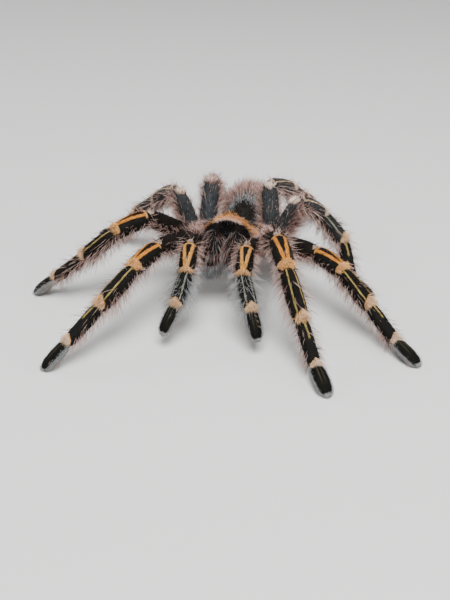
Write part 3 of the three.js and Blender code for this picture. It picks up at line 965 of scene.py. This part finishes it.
def limb_coat(limb, part, surface, way, marks, counts, side_length, **shades):
    """The hair of a segment, from the counts of its nap, its side hairs and its wool: a short dark
    nap, long hairs at the sides, a quarter as many bristles all over, coloured hairs on the
    stripes, a dense pale tuft on the cuff, and a softer wool low down."""
    seed = 1000 + 100 * LIMBS.index(limb) + 10 * PARTS.index(part)
    shades = HAIR_SHADES | shades
    nap, side_hairs, wool = counts
    def marked_nap(rng, u, v):
        """The nap's shade, with the stripes' colour where they run."""
        plain = rng.uniform(*shades["nap"], len(u))
        bright = rng.uniform(*marks["stripe_shade"], len(u))
        return np.where(stripe_share(marks, u, v) > 0.5, bright, plain)
    coats = [
        grown(seed, surface, nap, lambda u, v: 1 - 0.9 * cuff_share(marks, u, v), way, (1.0, 1.3),
              (0.45, 0.85), (0.11, 0.17), marked_nap),
        grown(seed + 1, surface, side_hairs, low_sides, way, (0.2, 0.8), side_length, (0.11, 0.16),
              shades["side"], long_hairs, curl=0.25, spread=0.15),
        grown(seed + 2, surface, side_hairs // 4, everywhere, way, (0.4, 0.9), (1.8, 3.4), (0.12, 0.17),
              shades["bristle"], long_hairs, curl=0.2),
    ]
    if marks["apart_end"]:
        coats.append(grown(seed + 3, surface, 260, lambda u, v: stripe_share(marks, u, v), way, (1.15, 1.35),
                           (0.4, 0.8), (0.12, 0.18), marks["stripe_shade"]))
    if marks["cuff_reach"]:
        coats.append(grown(seed + 4, surface, marks["cuff_hairs"], lambda u, v: cuff_share(marks, u, v), way,
                           (0.4, 1.1), marks["cuff_length"], (0.14, 0.22), marks["cuff_shade"], spread=0.3))
    if wool:
        coats.append(grown(seed + 5, surface, wool, low_sides, way, (0.6, 1.1), (1.0, 2.0), (0.12, 0.18),
                           shades["wool"]))
    make_coat(f"{limb}_{part}", "limb", coats)


def shader_edge(value, at, blur):
    """The same as edge, in shader nodes."""
    return masked(maths("SUBTRACT", value, at), -blur, blur)


def markings():
    """The bright lines, the arc and the cuff of a limb segment as masks on its own map: the same
    formulas as stripe_share and cuff_share. Streak is a noise drawn out along the limb, and frays
    their edges and shades them like combed hair."""
    sizes = {key: value for key, value in PLAIN.items() if isinstance(value, float)}
    masks = dict.fromkeys(("Stripe", "Arc", "Cuff", "Streak"), "NodeSocketFloat")
    tree, given, result = new_group("limb markings", sizes, masks)
    flat, u, v = map_place(tree)
    combed = wired("ShaderNodeMapping", {"Vector": flat, "Scale": (110.0, 7.0, 1.0)}).outputs[0]
    streak = noise(combed, 1.0, 3.0)
    stray = maths("MULTIPLY_ADD", streak, 0.05, -0.025)
    off = maths("ABSOLUTE", maths("ADD", maths("SUBTRACT", u, 0.25), stray))
    apart = maths("MULTIPLY_ADD", maths("SUBTRACT", given["apart_end"], given["apart"]), v, given["apart"])
    line = shader_edge(distance(off, apart), given["line"], -LINE_BLUR)
    begun = shader_edge(v, given["start"], START_BLUR)
    ended = shader_edge(v, given["stop"], -STOP_BLUR)
    curve = maths("MULTIPLY_ADD", times(off, off), ARC_DROOP, given["arc_at"])
    arc = shader_edge(distance(v, curve), given["arc"], -ARC_BLUR)
    arc_end = shader_edge(off, given["arc_reach"], -START_BLUR)
    along_cuff = maths("DIVIDE", maths("SUBTRACT", v, given["cuff_from"]),
                       maths("SUBTRACT", given["cuff_full"], given["cuff_from"]))
    reach = times(masked(along_cuff, 0.0, 1.0), given["cuff_reach"])
    cuff = masked(maths("SUBTRACT", off, reach), 0.03, -0.01)
    fill(result, {
        "Stripe": times(line, begun, ended),
        "Arc": times(arc, arc_end, maths("GREATER_THAN", given["arc"], 0.0)),
        "Cuff": times(cuff, masked(along_cuff, 0.0, 0.1), maths("GREATER_THAN", given["cuff_reach"], 0.0)),
        "Streak": masked(streak, 0.38, 0.62),
    })
    return tree


markings_group = markings()
DIM_STREAK = 0.4  # how bright the dim streaks of a marking are beside its bright ones


def marked_material(name, marks, base, dust, cuff, stripe=(0, 0, 0), arc=(0, 0, 0)):
    """Velvet skin with the limb markings laid over it in their three colours. A segment without
    lines or without an arc needs no colour for them."""
    material, shader, colour = nap_material(name, base, dust)
    group = wired("ShaderNodeGroup", {}, shader.id_data, node_tree=markings_group)
    for socket in group.inputs:
        socket.default_value = marks[socket.name]
    for mark, bright in (("Stripe", stripe), ("Arc", arc), ("Cuff", cuff)):
        dim = tuple(channel * DIM_STREAK for channel in bright)
        combed = mixed(group.outputs["Streak"], (*dim, 1), (*bright, 1))
        colour = mixed(group.outputs[mark], colour, combed)
    fill(shader, {"Base Color": colour})
    return material


def velvets(part, marks, colours):
    """One marked material for each kind of a segment, from its markings and its colours."""
    return {
        kind: marked_material(f"{part} velvet {kind}", marks[kind], *colours[kind]) for kind in colours
    }


KNEE_PALE = (0.42, 0.31, 0.22)
FEMUR_RADII = (2.6, 3.15, 3.1, 2.75)
FEMUR_MARKS = {
    "dark": PLAIN | dict(cuff_from=0.9, cuff_reach=0.08, cuff_shade=(0.5, 0.7), cuff_hairs=200),
    "grey": PLAIN | dict(cuff_from=0.84, cuff_reach=0.15, cuff_shade=(0.6, 0.73), cuff_hairs=420),
    "rusty": PLAIN | dict(cuff_from=0.84, cuff_reach=0.25, cuff_shade=(0.4, 0.66), cuff_hairs=420,
                          cuff_length=(1.6, 3.4)),
}
# The grey tone's velvet and dust are partly painted light caught on the rear femurs, and the rusty tone's
# bluer velvet and dust are painted light on the right fourth femur.
FEMUR_COLOURS = {  # the velvet, its dust and the knee
    "dark": ((0.003, 0.0026, 0.0023), (0.014, 0.011, 0.009), KNEE_PALE),
    "grey": ((0.009, 0.0098, 0.0095), (0.046, 0.051, 0.053), KNEE_PALE),
    "rusty": ((0.009, 0.0098, 0.0105), (0.046, 0.053, 0.058), (0.14, 0.085, 0.07)),
}
FEMUR_COUNTS = {"palp": (2000, 200, 250), "front": (2000, 360, 300), "rear": (2000, 620, 1200)}
femur_velvet = velvets("femur", FEMUR_MARKS, FEMUR_COLOURS)
for limb in LIMBS:
    place = place_of(limb)
    # The rear femurs take velvet and nap that are greyer, partly painted light, and the right fourth one a
    # bluer velvet of painted light.
    tone = "rusty" if limb == "leg_4_right" else "grey" if place == "rear" else "dark"
    surface, way = segment(limb, "femur", FEMUR_RADII, 0.8, 0.9, arch=0.25)
    make_skin(f"{limb}_femur", sack(surface, 40, 36), femur_velvet[tone], "limb")
    limb_coat(limb, "femur", surface, way, FEMUR_MARKS[tone], FEMUR_COUNTS[place], (2.6, 5.0),
              nap=(0.08, 0.26) if place == "rear" else BLACK, side=(0.42, 0.62))

# ----------------------------------------------
# Patellae: the knees, short arched tubes of the same hard skin. Two orange lines run down each
# from a pale arc across its root and draw together towards a broad cream cuff. On the rear legs
# the lines are thin and pale, on greyer velvet.

ORANGE = (0.79, 0.93)  # a span of the palette
STRIPE_ORANGE, ARC_CREAM, CUFF_CREAM = (0.60, 0.23, 0.035), (0.66, 0.34, 0.12), (0.56, 0.28, 0.1)
PATELLA_RADII = (2.6, 3.05, 3.05, 2.8)
PATELLA_MARKS = {
    "front": PLAIN | dict(apart=0.11, apart_end=0.02, line=0.03, start=0.14, stop=0.86, stripe_shade=ORANGE,
                          arc_at=0.11, arc=0.024, arc_reach=0.17, cuff_from=0.82, cuff_full=0.87,
                          cuff_reach=0.2, cuff_shade=(0.74, 0.84), cuff_length=(0.8, 1.7)),
    "palp": PLAIN | dict(apart=0.11, apart_end=0.008, line=0.034, start=0.12, stop=0.88,
                         stripe_shade=(0.76, 0.88), arc_at=0.1, arc=0.03, arc_reach=0.18, cuff_from=0.84,
                         cuff_full=0.9, cuff_reach=0.2, cuff_shade=(0.72, 0.83), cuff_length=(0.8, 1.6)),
    "rear": PLAIN | dict(apart=0.12, apart_end=0.05, line=0.011, start=0.1, stop=0.86, stripe_shade=CREAM,
                         arc_at=0.08, arc=0.016, arc_reach=0.14, cuff_from=0.82, cuff_full=0.88,
                         cuff_reach=0.2, cuff_shade=(0.62, 0.76)),
}
PATELLA_BLACK, PATELLA_DUST = (0.0025, 0.0025, 0.0022), (0.013, 0.012, 0.01)
PATELLA_COLOURS = {  # the velvet, its dust, the cuff, the lines and the arc
    "front": (PATELLA_BLACK, PATELLA_DUST, CUFF_CREAM, STRIPE_ORANGE, ARC_CREAM),
    "palp": (PATELLA_BLACK, PATELLA_DUST, CUFF_CREAM, (0.58, 0.28, 0.07), ARC_CREAM),
    "rear": ((0.008, 0.0085, 0.008), (0.042, 0.044, 0.043), (0.48, 0.32, 0.2), (0.44, 0.34, 0.22),
             (0.5, 0.38, 0.28)),
}
patella_velvet = velvets("patella", PATELLA_MARKS, PATELLA_COLOURS)
for limb in LIMBS:
    place = place_of(limb)
    surface, way = segment(limb, "patella", PATELLA_RADII, 0.9, 0.8, arch=0.5)
    make_skin(f"{limb}_patella", sack(surface, 48, 36), patella_velvet[place], "limb")
    limb_coat(limb, "patella", surface, way, PATELLA_MARKS[place], (1300, 210, 120), (2.7, 4.7),
              nap=(0.1, 0.26) if place == "rear" else BLACK)

# ----------------------------------------------
# Tibiae: the shins, long hard tubes. Two thin yellow lines run the length of each to a cornered
# cream tuft, and the longest hairs of the limb stand out along both sides. The palps' shins are
# shaggy with blue-grey hair, and the rear legs' lines are grey.

STRIPE_YELLOW, STRIPE_FAINT = (0.40, 0.31, 0.10), (0.26, 0.25, 0.17)
TIBIA_RADII = (2.4, 2.75, 2.8, 2.55)
TIBIA_MARKS = PLAIN | dict(apart=0.08, apart_end=0.1, line=0.013, start=0.04, stop=0.84,
                           cuff_from=0.76, cuff_full=0.93, cuff_reach=0.2, cuff_shade=(0.67, 0.82))
TIBIA_KINDS = {
    "front": TIBIA_MARKS,
    "palp": TIBIA_MARKS | dict(stripe_shade=(0.3, 0.325)),
    "rear": TIBIA_MARKS | dict(stripe_shade=(0.3, 0.34)),
}
TIBIA_COLOURS = {  # the velvet, its dust, the cuff and the lines
    "front": ((0.0025, 0.0025, 0.0022), (0.014, 0.0125, 0.011), CUFF_CREAM, STRIPE_YELLOW),
    "palp": ((0.0035, 0.0035, 0.0032), (0.018, 0.018, 0.0165), CUFF_CREAM, STRIPE_FAINT),
    "rear": ((0.007, 0.0075, 0.007), (0.036, 0.037, 0.035), KNEE_PALE, STRIPE_FAINT),
}
TIBIA_SHADES = {
    "front": {},
    "palp": dict(nap=(0.04, 0.22), side=(0.32, 0.345), wool=(0.28, 0.335), bristle=(0.3, 0.345)),
    "rear": dict(nap=(0.08, 0.24)),
}
tibia_velvet = velvets("tibia", TIBIA_KINDS, TIBIA_COLOURS)
for limb in LIMBS:
    place = place_of(limb)
    surface, way = segment(limb, "tibia", TIBIA_RADII, 0.9, 0.8)
    make_skin(f"{limb}_tibia", sack(surface, 48, 36), tibia_velvet[place], "limb")
    limb_coat(limb, "tibia", surface, way, TIBIA_KINDS[place],
              (1500, 600, 300) if place == "palp" else (1500, 400, 60), (3.3, 5.7), **TIBIA_SHADES[place])

# ----------------------------------------------
# Metatarsi: the slim hard tubes above the feet. One short yellow line runs down from the shin's
# tuft, and a small cream tuft ends them. The palps have none.

METATARSUS_RADII = (2.05, 2.2, 2.1, 2.0)
METATARSUS_MARKS = PLAIN | dict(apart=0.0, apart_end=0.001, line=0.02, start=0.02, stop=0.42,
                                cuff_from=0.8, cuff_full=0.93, cuff_reach=0.19, cuff_shade=(0.64, 0.78))
metatarsus_velvet = marked_material("metatarsus velvet", METATARSUS_MARKS, (0.003, 0.003, 0.0026),
                                    (0.014, 0.0135, 0.012), CUFF_CREAM, STRIPE_YELLOW)
for limb in LIMBS[2:]:
    surface, way = segment(limb, "metatarsus", METATARSUS_RADII, 0.8, 0.7)
    make_skin(f"{limb}_metatarsus", sack(surface, 44, 34), metatarsus_velvet, "limb")
    limb_coat(limb, "metatarsus", surface, way, METATARSUS_MARKS, (1100, 270, 30), (2.8, 4.8))

# ----------------------------------------------
# Tarsi: the feet, smooth dark paddles of hard skin, flat where they stand. A dense brush of short
# grey hair edges each one and covers its tip.

PINK = (0.43, 0.6)  # a span of the palette
TARSUS_RADII = (1.75, 2.35, 2.5, 2.3, 1.9)
SOLE_Z = 0.04  # how far the soles stay above the floor
tarsus_velvet, tarsus_shader, tarsus_nap = nap_material(
    "tarsus velvet", (0.0025, 0.0025, 0.002), (0.009, 0.009, 0.0075), bump=0.3)
_, tarsus_u, tarsus_v = map_place(tarsus_shader.id_data)
tarsus_off = distance(tarsus_u, 0.25)
tarsus_edge = maths("MAXIMUM", masked(tarsus_off, 0.17, 0.23), masked(tarsus_v, 0.93, 0.97))
tarsus_lines = times(masked(distance(tarsus_off, 0.04), 0.022, 0.006), masked(tarsus_v, 0.8, 0.4), 0.2)
tarsus_edged = mixed(tarsus_edge, tarsus_nap, (0.15, 0.16, 0.14, 1))
fill(tarsus_shader, {"Base Color": mixed(tarsus_lines, tarsus_edged, (0.14, 0.13, 0.08, 1))})


def sole_edge(u, v):
    """A band along both edges and round the tip."""
    low = np.exp(-(((rise(u) - 0.05) / 0.28) ** 2)) * smooth(0.05, 0.2, v)
    return np.maximum(low, smooth(0.92, 0.97, v))


def upper_face(u, v):
    """The top of a foot."""
    return smooth(0.0, 0.4, rise(u))


def foot_tip(u, v):
    """The last of a foot."""
    return smooth(0.93, 0.98, v)


for limb in LIMBS:
    paddle, way = segment(limb, "tarsus", TARSUS_RADII, 0.6, 0.0, 0.82, blunt=5)
    def surface(u, v, paddle=paddle):
        """The paddle, pressed flat where it stands."""
        points = paddle(u, v)
        return np.stack([points[..., 0], points[..., 1], np.maximum(points[..., 2], SOLE_Z)], -1)
    make_skin(f"{limb}_tarsus", sack(surface, 40, 32), tarsus_velvet, "foot")
    seed = 3000 + 10 * LIMBS.index(limb)
    make_coat(f"{limb}_tarsus", "foot", [
        grown(seed, surface, 900, upper_face, way, (1.1, 1.35), (0.4, 0.7), (0.1, 0.15), (0.02, 0.16)),
        grown(seed + 1, surface, 1200, sole_edge, way, (0.2, 0.8), (0.6, 1.1), (0.12, 0.17), (0.3, 0.34)),
        grown(seed + 2, surface, 60, low_sides, way, (0.6, 1.0), (1.2, 2.2), (0.12, 0.16), PINK,
              long_hairs, curl=0.2),
        grown(seed + 3, surface, 130, foot_tip, way, (0.4, 1.0), (0.5, 0.9), (0.13, 0.18), PALE),
    ])

# ----------------------------------------------
# Floor, lights and camera: a pale plain sweep, one broad soft light above the front, a weaker
# one from each side, and a camera in front of the face, looking down at it.

FLOOR_START, FLOOR_RUN, FLOOR_WIDTH = -1500, 3600, 6000
FLOOR_LEVEL, BEND_RADIUS = 700, 500  # where the floor begins to bend up, and how tightly
FLOOR_SINK = 0.02  # how far the floor lies below the feet
ACROSS, ALONG = 8, 72  # how many faces the floor has
floor_paint, _, floor_shader = new_material("pale floor")
fill(floor_shader, {"Base Color": (0.72, 0.72, 0.71, 1), "Roughness": 0.7})


def sweep(u, v):
    """A floor that runs level to FLOOR_LEVEL, bends up in a quarter circle of BEND_RADIUS, and goes
    on straight up as a wall."""
    run = v * FLOOR_RUN + FLOOR_START
    turn = np.clip((run - FLOOR_LEVEL) / BEND_RADIUS, 0, np.pi / 2)
    y = np.minimum(run, FLOOR_LEVEL) + BEND_RADIUS * np.sin(turn)
    wall = np.maximum(0, run - FLOOR_LEVEL - BEND_RADIUS * np.pi / 2)
    return np.stack([(u - 0.5) * FLOOR_WIDTH, y, BEND_RADIUS * (1 - np.cos(turn)) + wall - FLOOR_SINK], -1)


u, v = np.meshgrid(np.linspace(0, 1, ACROSS + 1), np.linspace(0, 1, ALONG + 1))
i, j = (grid.ravel() for grid in np.meshgrid(np.arange(ACROSS), np.arange(ALONG)))
tiles = (j * (ACROSS + 1) + i)[:, None] + np.array([0, 1, ACROSS + 2, ACROSS + 1])
make_piece("floor", (
    sweep(u, v).reshape(-1, 3), tiles.ravel(), np.arange(len(tiles)) * 4,
    np.stack([u, v], -1).reshape(-1, 2)[tiles.ravel()],
), floor_paint, None)

LIGHT_SIZE, AIM = 0.5, (0, 0, 0.01)  # metres
LIGHTS = (  # where each stands, in metres, and its watts
    ("light above the front", (0.1, -0.35, 0.75), 14),
    ("light on the left", (0.8, -0.1, 0.35), 3),
    ("light on the right", (-0.8, 0.1, 0.4), 3),
)


def placed(name, data, place, way):
    """An object put in the scene at a place, in metres, and turned to look along a way."""
    thing = bpy.data.objects.new(name, data)
    thing.location = place
    thing.rotation_mode = "QUATERNION"
    thing.rotation_quaternion = Vector(way).to_track_quat("-Z", "Y")
    bpy.context.scene.collection.objects.link(thing)
    return thing


for name, place, watts in LIGHTS:
    light = bpy.data.lights.new(name, "AREA")
    light.shape, light.size, light.energy = "SQUARE", LIGHT_SIZE, watts
    placed(name, light, place, Vector(AIM) - Vector(place))
world = bpy.data.worlds.new("room")
world.use_nodes = True
fill(world.node_tree.nodes["Background"], {"Color": (0.8, 0.82, 0.85, 1), "Strength": 0.2})
bpy.context.scene.world = world

CAMERA_TURN, CAMERA_LIFT = np.radians(10.71), np.radians(31.06)
CAMERA_AWAY, CAMERA_RIGHT, CAMERA_UP, CAMERA_Z = 306.0, -3.69, -21.06, 12.0
CAMERA_LENS, CAMERA_FILM, CAMERA_NEAR = 50.68, 36, 0.01
level = np.cos(CAMERA_LIFT)
back = np.array([np.sin(CAMERA_TURN) * level, -np.cos(CAMERA_TURN) * level, np.sin(CAMERA_LIFT)])
right = np.array([np.cos(CAMERA_TURN), np.sin(CAMERA_TURN), 0])
aim = CAMERA_Z * UP + right * CAMERA_RIGHT + np.cross(back, right) * CAMERA_UP
camera_data = bpy.data.cameras.new("camera")
camera_data.lens, camera_data.sensor_width, camera_data.clip_start = CAMERA_LENS, CAMERA_FILM, CAMERA_NEAR
bpy.context.scene.camera = placed("camera", camera_data, (aim + back * CAMERA_AWAY) / 1000, -back)
